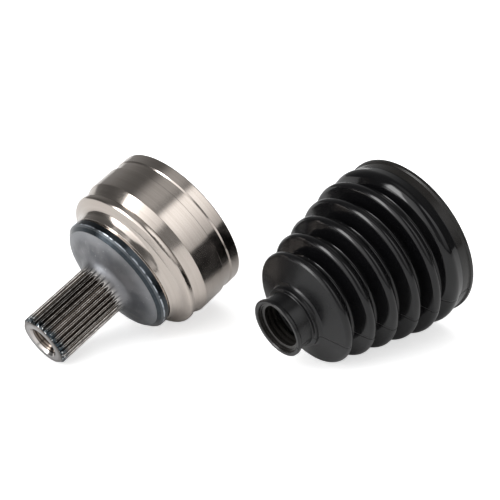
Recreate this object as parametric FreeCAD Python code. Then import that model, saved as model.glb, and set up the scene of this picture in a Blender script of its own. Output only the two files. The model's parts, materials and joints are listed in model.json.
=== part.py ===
"""Fixed ball-type constant-velocity joint with its loose rubber boot, lying side by side.

All lengths are millimetres.  Every piece of the joint is first built in the joint's own
frame: X runs along the stub, from its tip face (x = 0) towards the open mouth.  The boot is
built in a frame of its own: X runs from its small neck to its large collar.  Both are then
laid on the ground, +Z up, the way they come to rest, with the joint's axis above the X axis.
The origin is the bottom centre of the box round the two.
"""
import FreeCAD
import Part
import math
import os

Vec = FreeCAD.Vector

# Hub stub: an external involute spline, 24/48 diametral pitch
hub_teeth = 30
hub_pitch_r = 15.875
hub_addendum = 0.45
hub_dedendum = 0.95
hub_spline_length = 43.0
hub_runout_r = 5.0
spline_flank_deg = 30.0
stub_tip_chamfer = 1.7
stub_fillet = 7.0

# Tapped hole in the stub's tip, for the axle bolt
bolt_thread_core_r = 7.19
bolt_hole_depth = 38.0
bolt_centre_r = 10.4
bolt_centre_deg = 30.0
drill_point_deg = 59.0

# Outside of the outer race, section by section from the stub's tip to the mouth
stub_length = 57.6
flange_face_r = 35.6
flange_dish_deg = 18.5
flange_r = 38.9
flange_bevel = 2.9
flange_width = 3.5
undercut_width = 1.2
undercut_depth = 1.6
ring_root_r = 38.7
ring_r = 47.4
ring_width = 12.0
ring_land = 3.3
ring_root_slope_deg = 14.0
ring_crest_slope_deg = 66.0
ring_cove_round = 9.0
ring_crest_round = 4.5
ring_groove_width = 1.5
ring_groove_depth = 3.0
nose_r = 44.9
nose_length = 7.0
body_r = 48.5
body_length = 15.8
seat_r = 47.5
seat_width = 7.1
lip_r = 48.0
lip_width = 6.8
lip_bevel = 0.9
edge_break = 0.35

# Ball tracks and the spherical seats that they cross
ball_count = 6
ball_r = 8.731
track_r = 33.0
track_offset = 3.5
track_clearance = 0.15
inner_track_clearance = 0.2
joint_depth = 19.0
race_sphere_r = 36.5
race_land_front = 12.0
mouth_bore_r = 41.5
cavity_depth = 32.0
track_back_deg = 40.0
track_front_deg = 52.0

# Ball cage
cage_wall = 4.6
cage_half_width = 15.0
sphere_clearance = 0.2
window_clearance = 0.45
window_ball_travel = 1.2
window_corner_r = 4.5

# Inner race, with the spline and the spring ring that take the drive shaft
inner_race_half_width = 12.5
inner_race_bevel = 1.2
shaft_teeth = 28
shaft_pitch_r = 13.3
shaft_addendum = 0.6
shaft_dedendum = 0.75
circlip_thickness = 1.75
circlip_width = 2.6
circlip_gap_deg = 32.0
circlip_from_face = 3.0
circlip_clearance = 0.1

# Boot: neck, five convolutions, shoulder over the race's lip, and collar
boot_wall = 1.8
neck_length = 12.2
neck_r = 17.2
neck_lip_r = 18.3
neck_lip_width = 2.2
neck_mouth_r = 16.3
neck_mouth_depth = 1.6
neck_bore_r = 13.2
neck_rib_height = 1.6
neck_rib_width = 1.3
neck_rib_pitch = 3.2
neck_rib_count = 3
neck_shoulder_r = 19.3
neck_shoulder_width = 1.8
crests = [(23.3, 36.0), (37.6, 39.9), (51.9, 43.5), (66.3, 47.0), (79.4, 50.4)]
crest_round = 2.9
valley_depth = 9.0
valley_round = 1.7
shoulder_from_crest = 14.0
shoulder_crest_r = 51.4
shoulder_round = 5.0
shoulder_valley_depth = 6.5
neck_fillet = 2.5
collar_fillet = 1.0
collar_r = 49.9
collar_lip_r = 50.9
collar_lip_width = 2.2
collar_grip = 0.1
boot_lead_in = 0.5
boot_edge_round = 0.6

# How the boot lies beside the joint: its neck from the stub's tip, and its turn about Z
boot_ahead = 88.5
boot_beside = 100.3
boot_turn_deg = -3.9

# Values that follow from the sizes above
hub_major_r = hub_pitch_r + hub_addendum
hub_root_r = hub_pitch_r - hub_dedendum
flange_bevel_at = stub_length + flange_bevel
flange_back_at = flange_bevel_at + flange_width
ring_at = flange_back_at + undercut_width
ring_back_at = ring_at + ring_width
nose_at = ring_back_at + ring_groove_width
body_at = nose_at + nose_length
seat_at = body_at + body_length
lip_at = seat_at + seat_width
mouth_at = lip_at + lip_width
centre_at = mouth_at - joint_depth
cage_outer_r = race_sphere_r - sphere_clearance
cage_inner_r = cage_outer_r - cage_wall
inner_sphere_r = cage_inner_r - sphere_clearance
shaft_bore_r = shaft_pitch_r - shaft_addendum
shaft_root_r = shaft_pitch_r + shaft_dedendum
shoulder_at = crests[-1][0] + shoulder_from_crest
collar_at = shoulder_at + shoulder_round + collar_fillet
ball_ring_r = math.sqrt(track_r ** 2 - track_offset ** 2)
boot_length = collar_at + seat_width + collar_lip_width / 2


def rounded(corners):
    """Edges through corners (x, r, round): straight runs joined by tangent arcs."""
    points = [Vec(x, r, 0) for x, r, _ in corners]
    edges = []
    start = points[0]
    for i in range(1, len(points) - 1):
        before = (points[i - 1] - points[i])
        after = (points[i + 1] - points[i])
        half = before.getAngle(after) / 2
        wanted = corners[i][2] / math.tan(half)
        reach = min(wanted, 0.49 * before.Length, 0.49 * after.Length)
        if reach < 1e-4:
            edges.append(Part.LineSegment(start, points[i]).toShape())
            start = points[i]
            continue
        first = points[i] + before.normalize() * reach
        last = points[i] + after.normalize() * reach
        inward = (before + after).normalize()
        radius = reach * math.tan(half)
        middle = points[i] + inward * (reach / math.cos(half) - radius)
        edges.append(Part.LineSegment(start, first).toShape())
        edges.append(Part.Arc(first, middle, last).toShape())
        start = last
    edges.append(Part.LineSegment(start, points[-1]).toShape())
    return edges


def turned(edges):
    """Solid of revolution about X under an outline that runs towards +X."""
    first = edges[0].Vertexes[0].Point
    last = edges[-1].Vertexes[-1].Point
    outline = list(edges)
    start = Vec(first.x, 0, 0)
    end = Vec(last.x, 0, 0)
    if last.y > 1e-6:
        outline.append(Part.LineSegment(last, end).toShape())
    outline.append(Part.LineSegment(end, start).toShape())
    if first.y > 1e-6:
        outline.append(Part.LineSegment(start, first).toShape())
    wire = Part.Wire(Part.__sortEdges__(outline))
    return Part.Face(wire).revolve(Vec(0, 0, 0), Vec(1, 0, 0), 360)


def around_axis(shape, count):
    """Copies of a shape, evenly spaced about the X axis."""
    copies = []
    for i in range(count):
        copy = shape.copy()
        copy.rotate(Vec(0, 0, 0), Vec(1, 0, 0), 360 * i / count)
        copies.append(copy)
    return copies


def spline_gap(teeth, pitch_r, bottom_r, open_r):
    """Cross-section of one gap of a spline, in the plane x = 0, opening along Y."""
    slope = math.tan(math.radians(spline_flank_deg))
    half_at_pitch = pitch_r * math.sin(math.radians(90 / teeth))
    outward = 1 if open_r > bottom_r else -1
    half_bottom = half_at_pitch - slope * (pitch_r - bottom_r) * outward
    half_open = half_at_pitch + slope * (open_r - pitch_r) * outward
    corners = [Vec(0, bottom_r, -half_bottom), Vec(0, open_r, -half_open)]
    corners += [Vec(0, open_r, half_open), Vec(0, bottom_r, half_bottom)]
    return Part.Face(Part.makePolygon(corners + corners[:1]))


def hub_spline_gaps():
    """Gaps of the hub spline, each ending in a short round run-out."""
    open_r = hub_major_r + 0.4
    gap = spline_gap(hub_teeth, hub_pitch_r, hub_root_r, open_r)
    straight = gap.extrude(Vec(hub_spline_length + 1, 0, 0))
    straight.translate(Vec(-1, 0, 0))
    gap.translate(Vec(hub_spline_length, 0, 0))
    pivot = Vec(hub_spline_length, hub_root_r + hub_runout_r, 0)
    runout = gap.revolve(pivot, Vec(0, 0, 1), 75)
    return around_axis(straight.fuse(runout), hub_teeth)


def track_tool(centre_x, clearance):
    """Ball track: a tube bent about a centre on the axis, with a round end at the back."""
    tube_r = ball_r + clearance
    section = Part.Wire(Part.makeCircle(tube_r, Vec(0, track_r, 0), Vec(1, 0, 0)))
    tube = Part.Face(section).revolve(Vec(0, 0, 0), Vec(0, 0, 1), track_back_deg + track_front_deg)
    tube.rotate(Vec(0, 0, 0), Vec(0, 0, 1), -track_front_deg)
    tip = Vec(-math.sin(math.radians(track_back_deg)), math.cos(math.radians(track_back_deg)), 0)
    end = Part.makeSphere(tube_r, tip * track_r)
    tool = tube.fuse(end)
    tool.translate(Vec(centre_x, 0, 0))
    return tool


def outer_race_blank():
    """Turned outside of the outer race: stub, flange, ring, body, boot seat and lip."""
    dish = (flange_face_r - hub_major_r) * math.tan(math.radians(flange_dish_deg))
    ring_crest_at = ring_back_at - ring_land
    root_slope = math.tan(math.radians(ring_root_slope_deg))
    crest_slope = math.tan(math.radians(ring_crest_slope_deg))
    rise = ring_r - ring_root_r - (ring_crest_at - ring_at) * root_slope
    cove_at = ring_crest_at - rise / (crest_slope - root_slope)
    cove_r = ring_root_r + (cove_at - ring_at) * root_slope
    groove_r = ring_r - ring_groove_depth
    corners = [
        (0, hub_major_r - stub_tip_chamfer, 0),
        (stub_tip_chamfer, hub_major_r, 0),
        (stub_length - dish, hub_major_r, stub_fillet),
        (stub_length, flange_face_r, edge_break),
        (flange_bevel_at, flange_r, edge_break),
        (flange_back_at, flange_r, edge_break),
        (flange_back_at, flange_r - undercut_depth, 0),
        (ring_at, flange_r - undercut_depth, 0),
        (ring_at, ring_root_r, edge_break),
        (cove_at, cove_r, ring_cove_round),
        (ring_crest_at, ring_r, ring_crest_round),
        (ring_back_at, ring_r, edge_break),
        (ring_back_at, groove_r, 0),
        (nose_at, groove_r, 0),
        (nose_at, nose_r, edge_break),
        (body_at, body_r, edge_break),
        (seat_at, body_r, edge_break),
        (seat_at, seat_r, 0),
        (lip_at - lip_bevel, seat_r, 0),
        (lip_at, lip_r, edge_break),
        (mouth_at, lip_r, 2 * edge_break),
        (mouth_at, 0, 0),
    ]
    return turned(rounded(corners))


def bolt_hole():
    """Tapped hole in the stub's tip, with its centre cone and drill point."""
    cone = (bolt_centre_r - bolt_thread_core_r) / math.tan(math.radians(bolt_centre_deg))
    point = bolt_thread_core_r / math.tan(math.radians(drill_point_deg))
    slope = math.tan(math.radians(bolt_centre_deg))
    corners = [
        (-1, bolt_centre_r + slope, 0),
        (cone, bolt_thread_core_r, 0),
        (bolt_hole_depth, bolt_thread_core_r, 0),
        (bolt_hole_depth + point, 0, 0),
    ]
    return turned(rounded(corners))


def race_cavity():
    """Inside of the outer race: closed end, spherical land for the cage, mouth cone."""
    floor_r = math.sqrt(race_sphere_r ** 2 - cavity_depth ** 2)
    front_r = math.sqrt(race_sphere_r ** 2 - race_land_front ** 2)
    floor = Vec(-cavity_depth, floor_r, 0)
    front = Vec(race_land_front, front_r, 0)
    mouth = Vec(joint_depth, mouth_bore_r, 0)
    beyond = Vec(joint_depth + 1, mouth_bore_r + 1, 0)
    edges = [
        Part.LineSegment(Vec(-cavity_depth, 0, 0), floor).toShape(),
        Part.Arc(floor, Vec(0, race_sphere_r, 0), front).toShape(),
        Part.LineSegment(front, mouth).toShape(),
        Part.LineSegment(mouth, beyond).toShape(),
    ]
    cavity = turned(edges)
    cavity.translate(Vec(centre_at, 0, 0))
    return cavity


def outer_race():
    """Bell with its splined stub, six ball tracks and the tapped hole."""
    race = outer_race_blank().cut([bolt_hole(), race_cavity()])
    tracks = around_axis(track_tool(centre_at + track_offset, track_clearance), ball_count)
    return race.cut(tracks + hub_spline_gaps())


def ball_cage():
    """Spherical cage with one window to each ball, longer than the ball is wide."""
    shell = Part.makeSphere(cage_outer_r).cut(Part.makeSphere(cage_inner_r))
    slab = Part.makeCylinder(cage_outer_r + 1, 2 * cage_half_width, Vec(-cage_half_width, 0, 0), Vec(1, 0, 0))
    ring = shell.common(slab)
    half_width = ball_r + window_clearance
    half_length = ball_r + window_clearance + window_ball_travel
    blank = Part.makeBox(2 * half_width, cage_outer_r, 2 * half_length, Vec(-half_width, 0, -half_length))
    corners = [edge for edge in blank.Edges if abs(edge.tangentAt(0).y) > 0.99]
    window = blank.makeFillet(window_corner_r, corners)
    ring = ring.cut(around_axis(window, ball_count))
    ring.translate(Vec(centre_at, 0, 0))
    return ring


def inner_race():
    """Ball hub: spherical outside, six tracks, internal spline and spring-ring groove."""
    half = inner_race_half_width
    face_r = math.sqrt(inner_sphere_r ** 2 - half ** 2)
    edges = [
        Part.LineSegment(Vec(-half, 0, 0), Vec(-half, face_r, 0)).toShape(),
        Part.Arc(Vec(-half, face_r, 0), Vec(0, inner_sphere_r, 0), Vec(half, face_r, 0)).toShape(),
        Part.LineSegment(Vec(half, face_r, 0), Vec(half, 0, 0)).toShape(),
    ]
    blank = turned(edges)
    mouth_r = shaft_root_r + inner_race_bevel
    bore = turned(rounded([
        (-half - 1, mouth_r + 1, 0),
        (-half + mouth_r - shaft_bore_r, shaft_bore_r, 0),
        (half - mouth_r + shaft_bore_r, shaft_bore_r, 0),
        (half + 1, mouth_r + 1, 0),
    ]))
    gap = spline_gap(shaft_teeth, shaft_pitch_r, shaft_root_r, shaft_bore_r - 0.4)
    gap_tool = gap.extrude(Vec(2 * half + 2, 0, 0))
    gap_tool.translate(Vec(-half - 1, 0, 0))
    groove_r = shaft_root_r + circlip_width / 2 + circlip_clearance
    groove_length = circlip_thickness + 2 * circlip_clearance
    groove_at = half - circlip_from_face - groove_length
    groove = Part.makeCylinder(groove_r, groove_length, Vec(groove_at, 0, 0), Vec(1, 0, 0))
    race = blank.cut([bore, groove] + around_axis(gap_tool, shaft_teeth))
    race.translate(Vec(centre_at, 0, 0))
    return race.cut(around_axis(track_tool(centre_at - track_offset, inner_track_clearance), ball_count))


def shaft_circlip():
    """Spring ring that stays in the inner race and snaps into the shaft's groove."""
    outer_r = shaft_root_r + circlip_width / 2
    at = inner_race_half_width - circlip_from_face - circlip_clearance - circlip_thickness
    start = Vec(at, 0, 0)
    ring = Part.makeCylinder(outer_r, circlip_thickness, start, Vec(1, 0, 0))
    hole = Part.makeCylinder(outer_r - circlip_width, circlip_thickness, start, Vec(1, 0, 0))
    slot = Part.makeCylinder(outer_r + 1, circlip_thickness, start, Vec(1, 0, 0), circlip_gap_deg)
    ring = ring.cut([hole, slot])
    ring.translate(Vec(centre_at, 0, 0))
    return ring


def ball(index):
    """One ball, in the plane of the joint's centre."""
    turn = 2 * math.pi * index / ball_count
    place = Vec(centre_at, ball_ring_r * math.cos(turn), ball_ring_r * math.sin(turn))
    return Part.makeSphere(ball_r, place)


def skin(circles, depth):
    """Edges of a bellows wall over crests and under valleys, a depth below its outside.

    Each circle is (x, r, signed radius): below zero for a crest, above for a valley."""
    normals = []
    for (x0, r0, s0), (x1, r1, s1) in zip(circles, circles[1:]):
        span = math.hypot(x1 - x0, r1 - r0)
        heading = math.atan2(r1 - r0, x1 - x0) - math.asin((s1 - s0) / span)
        normals.append(Vec(-math.sin(heading), math.cos(heading), 0))
    edges = []
    for i in range(1, len(circles) - 1):
        centre = Vec(circles[i][0], circles[i][1], 0)
        reach = circles[i][2] + depth
        first = centre - normals[i - 1] * reach
        last = centre - normals[i] * reach
        middle = centre - (normals[i - 1] + normals[i]).normalize() * reach
        if edges:
            edges.append(Part.LineSegment(edges[-1].Vertexes[-1].Point, first).toShape())
        edges.append(Part.Arc(first, middle, last).toShape())
    return edges


def bellows_circles():
    """Circles that the boot's wall wraps: neck fillet, crests, valleys, shoulder, collar."""
    neck_end = neck_length + neck_shoulder_width
    circles = [(0, neck_shoulder_r, 0)]
    circles.append((neck_end, neck_shoulder_r + neck_fillet, neck_fillet))
    for i, (x, r) in enumerate(crests):
        circles.append((x, r - crest_round, -crest_round))
        if i + 1 < len(crests):
            next_x, next_r = crests[i + 1]
            valley_r = (r + next_r) / 2 - valley_depth
            circles.append(((x + next_x) / 2, valley_r + valley_round, valley_round))
    last_x, last_r = crests[-1]
    valley_r = (last_r + shoulder_crest_r) / 2 - shoulder_valley_depth
    shoulder_front = shoulder_at - shoulder_round
    circles.append(((last_x + shoulder_front + crest_round) / 2, valley_r + valley_round, valley_round))
    circles.append((shoulder_at, shoulder_crest_r - shoulder_round, -shoulder_round))
    circles.append((collar_at, collar_r + collar_fillet, collar_fillet))
    circles.append((boot_length, collar_r, 0))
    return circles


def boot():
    """Moulded bellows: clamp neck with sealing ribs, convolutions, shoulder and collar."""
    outside = skin(bellows_circles(), 0)
    inside = skin(bellows_circles(), boot_wall)
    lead = boot_lead_in
    soft = boot_edge_round
    seat_bore_r = seat_r - collar_grip
    head = outside[0].Vertexes[0].Point
    neck = rounded([
        (0, neck_mouth_r, 0),
        (0, neck_lip_r, soft),
        (neck_lip_width, neck_lip_r, soft),
        (neck_lip_width + lead, neck_r, soft),
        (neck_length - lead, neck_r, soft),
        (neck_length, neck_shoulder_r, soft),
        (head.x, head.y, 0),
    ])
    lip_start = boot_length - collar_lip_width
    tail = outside[-1].Vertexes[-1].Point
    collar = rounded([
        (tail.x, tail.y, 0),
        (lip_start - lead, collar_r, soft),
        (lip_start, collar_lip_r, soft),
        (boot_length, collar_lip_r, soft),
        (boot_length, seat_bore_r, 0),
    ])
    body = turned(neck + outside + collar)

    groove_r = neck_bore_r + neck_rib_height
    ribs = neck_rib_pitch * (neck_rib_count - 1) + neck_rib_width
    first_rib = (neck_mouth_depth + neck_length - ribs) / 2
    head = inside[0].Vertexes[0].Point
    bore = [(-lead, neck_mouth_r + lead, 0), (lead, neck_mouth_r - lead, 0)]
    bore.append((neck_mouth_depth, neck_mouth_r - lead, 0))
    bore.append((neck_mouth_depth, groove_r, 0))
    for i in range(neck_rib_count):
        rib = first_rib + neck_rib_pitch * i
        bore.append((rib - lead, groove_r, 0))
        bore.append((rib, neck_bore_r, 0))
        bore.append((rib + neck_rib_width, neck_bore_r, 0))
        bore.append((rib + neck_rib_width + lead, groove_r, 0))
    bore.append((neck_length, groove_r, 0))
    bore.append((head.x, head.y, 0))
    rear = inside[-1].Vertexes[-1].Point
    seat_from = boot_length - seat_width
    cuff = rounded([
        (rear.x, rear.y, 0),
        (seat_from - lead, lip_r + collar_grip, 0),
        (seat_from, seat_bore_r, 0),
        (boot_length - lead, seat_bore_r, 0),
        (boot_length + lead, seat_bore_r + 2 * lead, 0),
    ])
    return body.cut(turned(rounded(bore) + inside + cuff))


def resting_tilt(rear, front):
    """Nose-up angle at which a body lies on two of its rims, each given as (x, r)."""
    return math.degrees(math.atan2(front[1] - rear[1], front[0] - rear[0]))


def lay(pieces, tilt, turn, x, y):
    """Tip pieces up by tilt, turn them about Z, put their X = 0 end over (x, y), on the ground."""
    for piece in pieces.values():
        piece.rotate(Vec(0, 0, 0), Vec(0, 1, 0), -tilt)
        piece.rotate(Vec(0, 0, 0), Vec(0, 0, 1), turn)
    ground = min(piece.optimalBoundingBox(False).ZMin for piece in pieces.values())
    for piece in pieces.values():
        piece.translate(Vec(x, y, -ground))
    return Vec(x, y, -ground)


# Build the joint and the boot, and lay both on the ground
joint = {"outer_race": outer_race(), "inner_race": inner_race(), "ball_cage": ball_cage()}
joint["shaft_circlip"] = shaft_circlip()
for index in range(ball_count):
    joint["ball_%d" % (index + 1)] = ball(index)
loose = {"boot": boot()}
joint_tilt = resting_tilt((stub_tip_chamfer, hub_major_r), (ring_back_at - edge_break, ring_r))
boot_tilt = resting_tilt(crests[2], crests[4])
tip = lay(joint, joint_tilt, 0, 0, 0)
neck = lay(loose, boot_tilt, boot_turn_deg, boot_ahead, -boot_beside)

# Origin at the bottom centre of the box round everything
box = FreeCAD.BoundBox()
for piece in [joint["outer_race"], loose["boot"]]:
    box.add(piece.optimalBoundingBox(False))
origin = Vec(box.Center.x, box.Center.y, box.ZMin)
os.makedirs("parts", exist_ok=True)
for name, piece in {**joint, **loose}.items():
    piece.translate(origin * -1)
    piece.exportStep("parts/%s.step" % name)
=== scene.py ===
"""Looks of the constant-velocity joint and its loose boot, laid side by side. Lengths in metres."""
import bpy
import json
import math
from mathutils import Matrix, Vector


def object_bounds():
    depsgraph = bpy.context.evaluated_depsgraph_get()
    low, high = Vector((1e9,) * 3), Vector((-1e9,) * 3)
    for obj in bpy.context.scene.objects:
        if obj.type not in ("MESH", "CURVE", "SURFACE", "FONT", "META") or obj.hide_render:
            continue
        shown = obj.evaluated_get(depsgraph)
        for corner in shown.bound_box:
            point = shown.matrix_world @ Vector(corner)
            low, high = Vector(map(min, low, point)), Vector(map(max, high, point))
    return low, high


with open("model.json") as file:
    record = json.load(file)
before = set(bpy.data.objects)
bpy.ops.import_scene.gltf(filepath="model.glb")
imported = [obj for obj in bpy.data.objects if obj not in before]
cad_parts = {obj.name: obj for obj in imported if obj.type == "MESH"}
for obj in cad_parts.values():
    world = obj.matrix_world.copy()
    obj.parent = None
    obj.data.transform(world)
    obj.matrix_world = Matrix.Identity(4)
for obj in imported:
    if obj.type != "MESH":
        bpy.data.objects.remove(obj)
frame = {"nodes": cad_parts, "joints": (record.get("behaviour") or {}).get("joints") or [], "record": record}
cad_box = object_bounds()
mounts = {m["name"]: m for m in frame["record"]["mounts"]}
joints = {j["name"]: j for j in frame["joints"]}

# Where each body's own frame starts
TIP_TO_CENTRE = 0.0964
NECK_END_TO_MOUNT = 0.0069

# Zones of the outer race. A pair of numbers is the short stretch in which one surface becomes the
# next: a distance along the axis from the stub's tip, or a radius where the name ends in _R.
HUB_TEETH = 30
THREAD_PITCH = 0.0015
END_FACE = (0.0002, 0.0006)
END_FACE_R = (0.0103, 0.0105)
END_FACE_LIGHT_R = (0.0120, 0.0140)
COUNTERSINK_END = (0.0014, 0.0018)
HOLE_R = (0.0106, 0.0109)
HOLE_END = (0.0480, 0.0490)
INK_END = (0.0018, 0.0070)
TEETH_END = (0.043, 0.050)
TOOTH_EDGE = (0.120, 0.165)  # in tooth pitches, from the middle of a tooth
TOOTH_EDGE_R = (0.01600, 0.01620)
SATIN_FROM = (0.0430, 0.0460)
FLANGE_LIGHT_R = (0.0270, 0.0345)
RIM_R = (0.0353, 0.0357)
BEVEL = (0.0603, 0.0606)
BEVEL_R = (0.0373, 0.0376)
EDGE = (0.0606, 0.0610)
EDGE_R = (0.0383, 0.0386)
HARDENED_END = (0.0645, 0.0647)
CAVITY = (0.0620, 0.0625)
CAVITY_R = (0.0330, 0.0334)
MOUTH = (0.0740, 0.0745)
MOUTH_R = (0.0430, 0.0434)

# Zones of the boot, measured from the neck's end
NECK_BORE_R = (0.0160, 0.0166)
DOME_END = (0.0215, 0.0260)
FOLDS_END = (0.0840, 0.0880)
COLLAR_FROM = (0.0995, 0.1002)
PARTING_TURN = math.radians(-158)
PARTING_HALF_WIDTH = (0.00025, 0.00070)
PARTING_R = (0.0166, 0.0170)

# Studio. A softbox is azimuth from and to, elevation from and to, and how soft its upright and its
# level edges are, in degrees. Azimuth 0 is towards the camera and grows towards its right
FLOOR_HALF = 6.0
FLOOR_GAP = 0.0002
FLOOR_GLOW = 0.62
KEY_BOX = (-81, -10, -2, 60, 3, 4)
KEY_CORE = (-79, -56, 6, 48, 2.5, 4)
FRONT_BOX = (-12, 36, -8, 24, 12, 10)
FILL_BOX = (32, 74, 4, 66, 6, 5)
TOP_LIGHT_SIZE = 1.6
TOP_LIGHT_POWER = 14
TOP_LIGHT_LEFT = 0.15
TOP_LIGHT_NEAR = 0.25
TOP_LIGHT_ABOVE = 1.5

# Camera, 44 degrees to the left of the view along +Y, looking down by 26 degrees at a spot of the
# ground that is given from below the stub's tip
CAMERA_AZIMUTH = math.radians(-44.27 - 90)
CAMERA_ELEVATION = math.radians(25.73)
CAMERA_DISTANCE = 1.0098
CAMERA_LENS = 109.1
AIM_FROM_TIP = (0.1918, 0.0270)

WHITE = (1, 1, 1, 1)


def frame_of(origin, axis):
    """Matrix from a body's own frame, X along its axis, to the common frame."""
    side = Vector((0, 0, 1)).cross(axis).normalized()
    up = axis.cross(side)
    turn = Matrix((axis, side, up)).transposed()
    return Matrix.Translation(origin) @ turn.to_4x4()


# Axes run from stub to mouth, and from neck to collar
joint_axis = Vector(mounts["hub_spline"]["axis"]) * -1
joint_centre = Vector(joints["articulation"]["pos_m"])
joint_tip = joint_centre - joint_axis * TIP_TO_CENTRE
boot_axis = Vector(mounts["boot_neck"]["axis"]) * -1
boot_tip = Vector(mounts["boot_neck"]["pos_m"]) - boot_axis * NECK_END_TO_MOUNT
joint_frame = frame_of(joint_tip, joint_axis)
boot_frame = frame_of(boot_tip, boot_axis)


class Nodes:
    """Short way to build the node tree of a material or of the world."""

    def __init__(self, name, library=bpy.data.materials, output="OutputMaterial"):
        self.owner = library.new(name)
        self.owner.use_nodes = True
        self.tree = self.owner.node_tree
        self.tree.nodes.clear()
        self.out = self.add(output)

    def add(self, kind, **settings):
        node = self.tree.nodes.new("ShaderNode" + kind)
        for key, value in settings.items():
            setattr(node, key, value)
        return node

    def feed(self, socket, value):
        if isinstance(value, bpy.types.NodeSocket):
            self.tree.links.new(value, socket)
        else:
            socket.default_value = value

    def math(self, operation, *values):
        node = self.add("Math", operation=operation)
        for socket, value in zip(node.inputs, values):
            self.feed(socket, value)
        return node.outputs[0]

    def times(self, result, *others):
        for value in others:
            result = self.math("MULTIPLY", result, value)
        return result

    def plus(self, result, *others):
        for value in others:
            result = self.math("ADD", result, value)
        return result

    def step(self, value, low, high, start=0.0, end=1.0):
        """Smooth change from start to end as value goes from low to high."""
        node = self.add("MapRange", interpolation_type="SMOOTHSTEP")
        for socket, item in zip(node.inputs, (value, low, high, start, end)):
            self.feed(socket, item)
        return node.outputs[0]

    def above(self, value, zone, most=1.0):
        """From 0 below the zone to the most above it."""
        return self.step(value, *zone, 0, most)

    def below(self, value, zone, most=1.0):
        """From the most below the zone to 0 above it."""
        return self.step(value, *zone, most, 0)

    def mix(self, factor, first, second):
        node = self.add("Mix", data_type="RGBA")
        self.feed(node.inputs[0], factor)
        self.feed(node.inputs[6], first)
        self.feed(node.inputs[7], second)
        return node.outputs[2]

    def noise(self, vector, scale, detail=3.0, rough=0.5):
        """Cloudy values from 0 to 1; scale is the number of clouds in a metre."""
        node = self.add("TexNoise")
        self.feed(node.inputs["Vector"], vector)
        self.feed(node.inputs["Scale"], scale)
        self.feed(node.inputs["Detail"], detail)
        self.feed(node.inputs["Roughness"], rough)
        return node.outputs["Fac"]

    def own_frame(self, matrix):
        """Place in a body's own frame, distance along its axis, radius and angle round it."""
        mapping = self.add("Mapping", vector_type="TEXTURE")
        self.feed(mapping.inputs["Vector"], self.add("TexCoord").outputs["Object"])
        mapping.inputs["Location"].default_value = matrix.to_translation()
        mapping.inputs["Rotation"].default_value = matrix.to_euler("XYZ")
        split = self.add("SeparateXYZ")
        self.feed(split.inputs[0], mapping.outputs[0])
        x, y, z = split.outputs
        r = self.math("SQRT", self.plus(self.times(y, y), self.times(z, z)))
        return mapping.outputs[0], x, r, self.math("ARCTAN2", z, y)

    def rings(self, x, r, scale, detail=2.0):
        """Noise in fine rings about the axis, as a turning tool leaves them."""
        join = self.add("CombineXYZ")
        self.feed(join.inputs[0], x)
        self.feed(join.inputs[1], r)
        return self.noise(join.outputs[0], scale, detail)

    def bump(self, height, distance, strength=1.0, normal=None):
        node = self.add("Bump")
        self.feed(node.inputs["Height"], height)
        node.inputs["Distance"].default_value = distance
        node.inputs["Strength"].default_value = strength
        if normal is not None:
            self.feed(node.inputs["Normal"], normal)
        return node.outputs[0]

    def finish(self, **sockets):
        shader = self.add("BsdfPrincipled")
        for name, value in sockets.items():
            self.feed(shader.inputs[name.replace("_", " ")], value)
        self.tree.links.new(shader.outputs[0], self.out.inputs[0])
        return self.owner


def stub_colour(m, place, x, cloud, edges):
    """Oxide on the teeth, rubbed bright along their edges with a painted highlight there as well, and ink
    with pale flecks at the tip.
    """
    colour = m.mix(cloud, (0.022, 0.018, 0.015, 1), (0.10, 0.082, 0.068, 1))
    # Painted highlight: pale colour along the tooth edges, partly rubbed wear and partly the light those
    # edges catch.
    worn_edge_and_highlight = m.times(edges, m.step(m.noise(place, 380, 3), 0.35, 0.62, 0.5, 1.0))
    colour = m.mix(worn_edge_and_highlight, colour, (0.92, 0.88, 0.84, 1))
    ink = m.times(m.below(x, INK_END), m.step(m.noise(place, 260, 3), 0.36, 0.52, 0.25, 0.9))
    colour = m.mix(ink, colour, (0.030, 0.045, 0.056, 1))
    flecks = m.step(m.noise(place, 900, 3), 0.60, 0.64)
    return m.mix(m.times(ink, flecks), colour, (0.85, 0.87, 0.88, 1))


def flange_colour(m, place, x, r, cloud, rim):
    """Blued and scuffed face with a dark rim, its bevel mottled and its edge worn bright, with a painted
    highlight along that edge as well.
    """
    blued = m.mix(m.step(cloud, 0.35, 0.65), (0.13, 0.135, 0.145, 1), (0.23, 0.23, 0.24, 1))
    blued = m.mix(m.above(r, FLANGE_LIGHT_R, 0.6), blued, (0.36, 0.37, 0.385, 1))
    scuffs = m.step(m.noise(place, 420, 4, 0.7), 0.62, 0.70)
    blued = m.mix(m.times(scuffs, 0.35), blued, (0.60, 0.60, 0.60, 1))
    mottle = m.noise(place, 220, 4, 0.7)
    navy = m.mix(mottle, (0.012, 0.018, 0.023, 1), (0.070, 0.080, 0.090, 1))
    bevel = m.times(m.above(r, BEVEL_R), m.below(x, BEVEL))
    mottled = m.mix(cloud, (0.025, 0.034, 0.042, 1), (0.17, 0.18, 0.19, 1))
    navy = m.mix(bevel, navy, mottled)
    # Painted highlight: a thin pale line along the outer edge, partly worn bare metal and partly the light
    # the edge catches.
    edge_wear_and_highlight = m.times(m.above(r, EDGE_R), m.below(x, EDGE))
    edge_wear_and_highlight = m.times(edge_wear_and_highlight, m.step(m.noise(place, 150, 4, 0.7), 0.42, 0.56))
    navy = m.mix(edge_wear_and_highlight, navy, (0.40, 0.43, 0.47, 1))
    return m.mix(rim, blued, navy)


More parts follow.
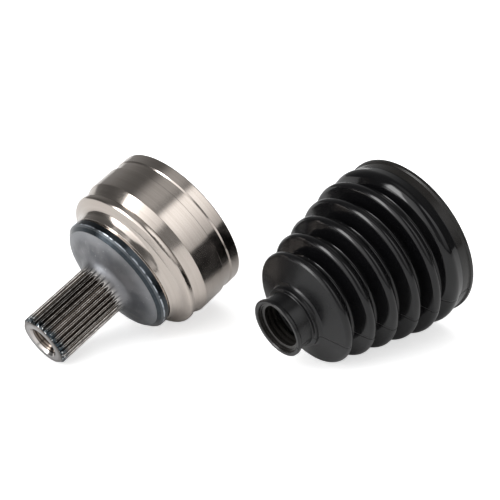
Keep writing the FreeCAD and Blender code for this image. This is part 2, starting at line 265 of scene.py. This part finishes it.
def hole_colours(m, x, r, around, coarse, colour):
    """Adds the countersink, the threaded wall behind it painted in shade with its thread drawn as painted
    light and shade stripes, and the turned end face.
    """
    hole = m.times(m.below(r, HOLE_R), m.below(x, HOLE_END))
    # Painted shade: the threaded wall deep in the hole is painted dark, and its thread drawn as dark and
    # paler stripes for the shade and light on the thread.
    shaded_thread_wall = m.times(hole, m.above(x, COUNTERSINK_END))
    thread = m.math("PINGPONG", m.plus(m.math("DIVIDE", x, THREAD_PITCH), around), 0.5)
    thread_light_and_shade = m.mix(m.step(thread, 0.1, 0.4), (0.03, 0.022, 0.018, 1), (0.17, 0.145, 0.125, 1))
    face = m.times(m.above(r, END_FACE_R), m.below(x, END_FACE))
    scale = m.mix(coarse, (0.065, 0.056, 0.050, 1), (0.17, 0.155, 0.145, 1))
    faced = m.mix(m.above(r, END_FACE_LIGHT_R), (0.30, 0.29, 0.285, 1), scale)
    colour = m.mix(hole, colour, (0.62, 0.59, 0.57, 1))
    colour = m.mix(shaded_thread_wall, colour, thread_light_and_shade)
    return m.mix(face, colour, faced)


def race_material():
    """Turned and ground steel, warm and bright, with a dark hardened stub and flange."""
    m = Nodes("race_steel")
    place, x, r, turn = m.own_frame(joint_frame)
    fine = m.rings(x, r, 5200, detail=1)
    coarse = m.rings(x, r, 900)
    broad = m.rings(x, r, 160, detail=1)
    cloud = m.noise(place, 55, 4)
    around = m.math("DIVIDE", turn, 2 * math.pi)
    in_tooth = m.math("FRACT", m.times(around, HUB_TEETH))
    off_middle = m.math("ABSOLUTE", m.math("SUBTRACT", in_tooth, 0.5))
    edges = m.times(m.above(off_middle, TOOTH_EDGE), m.above(r, TOOTH_EDGE_R))
    dark = m.below(x, HARDENED_END)
    stub = m.below(x, TEETH_END)
    rim = m.above(r, RIM_R)
    cavity = m.times(m.above(x, CAVITY), m.below(r, CAVITY_R))
    mouth = m.times(m.above(x, MOUTH), m.below(r, MOUTH_R))

    bright = m.mix(coarse, (0.44, 0.385, 0.34, 1), (0.58, 0.525, 0.48, 1))
    bright = m.mix(m.times(broad, 0.5), bright, (0.62, 0.57, 0.53, 1))
    blued = flange_colour(m, place, x, r, cloud, rim)
    hardened = m.mix(stub, blued, stub_colour(m, place, x, cloud, edges))
    colour = m.mix(dark, bright, hardened)
    colour = hole_colours(m, x, r, around, coarse, colour)
    turned = m.mix(m.step(coarse, 0.35, 0.65), (0.15, 0.14, 0.13, 1), (0.42, 0.40, 0.38, 1))
    turned = m.mix(m.step(cloud, 0.3, 0.7), turned, (0.24, 0.23, 0.22, 1))
    colour = m.mix(m.math("MAXIMUM", cavity, mouth), colour, turned)

    satin = m.times(m.above(x, SATIN_FROM), m.math("SUBTRACT", 1, rim))
    base = m.times(dark, m.plus(0.04, m.times(satin, 0.26)))
    rough = m.plus(m.times(fine, 0.14), m.plus(base, 0.09))
    normal = m.bump(fine, 0.00002, 0.5)
    normal = m.bump(m.times(edges, stub), 0.00010, 0.6, normal)
    normal = m.bump(broad, 0.00012, 0.35, normal)
    return m.finish(Base_Color=colour, Metallic=1.0, Roughness=rough, Normal=normal)


def plain_steel(name, low, high, rough, wear=0.35):
    """Hardened steel: turning rings, cloudy tempering and small bright rub marks."""
    m = Nodes(name)
    place, x, r, _ = m.own_frame(joint_frame)
    cloud = m.step(m.noise(place, 90, 5, 0.6), 0.32, 0.68)
    coarse = m.rings(x, r, 1100)
    fine = m.rings(x, r, 4200, detail=1)
    rubs = m.step(m.noise(place, 520, 4, 0.7), 0.60, 0.68)
    colour = m.mix(m.plus(m.times(cloud, 0.6), m.times(coarse, 0.4)), low, high)
    colour = m.mix(m.times(rubs, wear), colour, (0.62, 0.61, 0.60, 1))
    patchy = m.plus(m.times(fine, 0.12), m.times(cloud, 0.08), rough)
    normal = m.bump(coarse, 0.00003, 0.4, m.bump(fine, 0.00001, 0.4))
    return m.finish(Base_Color=colour, Metallic=1.0, Roughness=patchy, Normal=normal)


def rubber_material():
    """Glossy moulded black elastomer, with a duller dome, folds and collar band, and painted light inside
    the neck bore.
    """
    m = Nodes("boot_rubber")
    place, x, r, turn = m.own_frame(boot_frame)
    cloud = m.noise(place, 40, 4)
    band = m.above(x, COLLAR_FROM)
    colour = m.mix(cloud, (0.0015, 0.0015, 0.0018, 1), (0.0035, 0.0035, 0.004, 1))
    colour = m.mix(band, colour, (0.010, 0.009, 0.008, 1))
    # Painted light: the inside of the neck bore is paler, so that its sealing ribs show as if lit.
    colour = m.mix(m.below(r, NECK_BORE_R), colour, (0.012, 0.011, 0.010, 1))
    folds = m.below(x, FOLDS_END, 0.08)
    dome = m.below(x, DOME_END, 0.18)
    satin = m.math("MAXIMUM", m.times(band, 0.14), m.math("MAXIMUM", folds, dome))
    rough = m.plus(m.times(cloud, 0.06), m.plus(satin, 0.055))

    # Fine, slightly wavy groove where the halves of the mould met, low on the side away from the joint
    from_line = m.plus(m.math("SUBTRACT", turn, PARTING_TURN), m.times(m.noise(place, 150, 2), 0.04))
    parting = m.below(m.times(m.math("ABSOLUTE", from_line), r), PARTING_HALF_WIDTH)
    parting = m.times(parting, m.above(r, PARTING_R))
    grain = m.noise(place, 1800, 2)
    waves = m.noise(place, 120, 2)
    normal = m.bump(grain, 0.00002, 0.3, m.bump(waves, 0.0001, 0.5))
    normal = m.bump(m.math("SUBTRACT", 1, parting), 0.0015, 1.0, normal)
    return m.finish(Base_Color=colour, Roughness=rough, Specular_IOR_Level=0.42, Normal=normal)


def paint(node, material):
    """Gives a whole piece one material."""
    mesh = frame["nodes"][node].data
    mesh.materials.clear()
    mesh.materials.append(material)


def floor(level):
    """Plain pale floor that glows for the camera alone, so that it keeps the object's shadow."""
    mesh = bpy.data.meshes.new("floor")
    half = FLOOR_HALF
    corners = [(-half, -half, 0), (half, -half, 0), (half, half, 0), (-half, half, 0)]
    mesh.from_pydata(corners, [], [(0, 1, 2, 3)])
    plane = bpy.data.objects.new("floor", mesh)
    bpy.context.scene.collection.objects.link(plane)
    plane.location.z = level
    m = Nodes("floor_white")
    grain = m.noise(m.add("TexCoord").outputs["Object"], 3, 2)
    shader = m.add("BsdfDiffuse")
    m.feed(shader.inputs[0], m.mix(grain, (0.86, 0.86, 0.86, 1), (0.88, 0.88, 0.88, 1)))
    shown = m.add("LightPath").outputs["Is Camera Ray"]
    glow = m.add("Emission")
    m.feed(glow.inputs["Strength"], m.times(shown, FLOOR_GLOW))
    both = m.add("AddShader")
    m.feed(both.inputs[0], shader.outputs[0])
    m.feed(both.inputs[1], glow.outputs[0])
    m.feed(m.out.inputs[0], both.outputs[0])
    mesh.materials.append(m.owner)


def studio(sight, right):
    """White for the camera; for light and reflections two large softboxes in a dim room."""
    m = Nodes("studio", bpy.data.worlds, "OutputWorld")
    direction = m.add("TexCoord").outputs["Generated"]

    def along(vector):
        node = m.add("VectorMath", operation="DOT_PRODUCT")
        m.feed(node.inputs[0], direction)
        m.feed(node.inputs[1], vector)
        return node.outputs["Value"]

    el = m.times(m.math("ARCSINE", along((0, 0, 1))), 180 / math.pi)
    az = m.times(m.math("ARCTAN2", along(right), along(-sight)), 180 / math.pi)

    def panel(az_from, az_to, el_from, el_to, soft_az, soft_el):
        """1 inside the softbox and 0 outside it."""
        return m.times(
            m.step(az, az_from - soft_az, az_from + soft_az),
            m.step(az, az_to - soft_az, az_to + soft_az, 1, 0),
            m.step(el, el_from - soft_el, el_from + soft_el),
            m.step(el, el_to - soft_el, el_to + soft_el, 1, 0),
        )

    behind = m.step(m.math("ABSOLUTE", az), 105, 170, -0.06, 0.22)
    ceiling = m.step(el, 62, 84, 0.18, 0.70)
    room = m.plus(ceiling, m.times(behind, m.step(el, 10, 60, 1, 0)))
    key = m.times(panel(*KEY_BOX), m.step(az, -52, -12, 2.3, 1.4))
    key = m.plus(key, m.times(panel(*KEY_CORE), 8.0), m.times(panel(*FRONT_BOX), 0.22))
    fill = m.times(panel(*FILL_BOX), m.step(el, 0, 60, 0.7, 2.0))
    shader = m.add("Background")
    shown = m.add("LightPath").outputs["Is Camera Ray"]
    m.feed(shader.inputs["Strength"], m.mix(shown, m.plus(room, key, fill), WHITE))
    m.feed(m.out.inputs[0], shader.outputs[0])
    bpy.context.scene.world = m.owner


def top_light(place, target):
    """Large soft lamp overhead, left out of the reflections."""
    light = bpy.data.lights.new("top", "AREA")
    light.shape = "RECTANGLE"
    light.size = TOP_LIGHT_SIZE
    light.size_y = TOP_LIGHT_SIZE
    light.energy = TOP_LIGHT_POWER
    lamp = bpy.data.objects.new("top", light)
    bpy.context.scene.collection.objects.link(lamp)
    lamp.location = place
    lamp.rotation_euler = (target - place).to_track_quat("-Z", "Y").to_euler()
    lamp.visible_glossy = False


def aim_camera(aim):
    """Points the camera at a spot of the ground; returns the level directions ahead and right."""
    level = math.cos(CAMERA_ELEVATION)
    back = Vector((
        level * math.cos(CAMERA_AZIMUTH),
        level * math.sin(CAMERA_AZIMUTH),
        math.sin(CAMERA_ELEVATION),
    ))
    camera = bpy.data.cameras.new("camera")
    camera.lens = CAMERA_LENS
    camera.sensor_width = 36
    camera.clip_end = 50
    eye = bpy.data.objects.new("camera", camera)
    bpy.context.scene.collection.objects.link(eye)
    eye.location = aim + back * CAMERA_DISTANCE
    eye.rotation_euler = (aim - eye.location).to_track_quat("-Z", "Y").to_euler()
    bpy.context.scene.camera = eye
    sight = (Vector((aim.x, aim.y, 0)) - Vector((eye.location.x, eye.location.y, 0))).normalized()
    return sight, Vector((sight.y, -sight.x, 0))


paint("outer_race", race_material())
paint("inner_race", plain_steel("inner_race_steel", (0.38, 0.37, 0.355, 1), (0.64, 0.62, 0.60, 1), 0.18))
paint("ball_cage", plain_steel("cage_steel", (0.08, 0.082, 0.09, 1), (0.22, 0.22, 0.235, 1), 0.24))
paint("shaft_circlip", plain_steel("spring_steel", (0.05, 0.05, 0.055, 1), (0.12, 0.12, 0.12, 1), 0.30))
ball_steel = plain_steel("ball_steel", (0.70, 0.70, 0.71, 1), (0.82, 0.82, 0.82, 1), 0.02, 0.1)
for index in range(6):
    paint("ball_%d" % (index + 1), ball_steel)
paint("boot", rubber_material())

low, high = Vector(cad_box[0]), Vector(cad_box[1])
centre = (low + high) / 2
aim = Vector((joint_tip.x + AIM_FROM_TIP[0], joint_tip.y + AIM_FROM_TIP[1], low.z))
sight, right = aim_camera(aim)
floor(low.z - FLOOR_GAP)
studio(sight, right)
overhead = centre - right * TOP_LIGHT_LEFT - sight * TOP_LIGHT_NEAR + Vector((0, 0, TOP_LIGHT_ABOVE))
top_light(overhead, centre)
bpy.context.scene.view_settings.view_transform = "Standard"
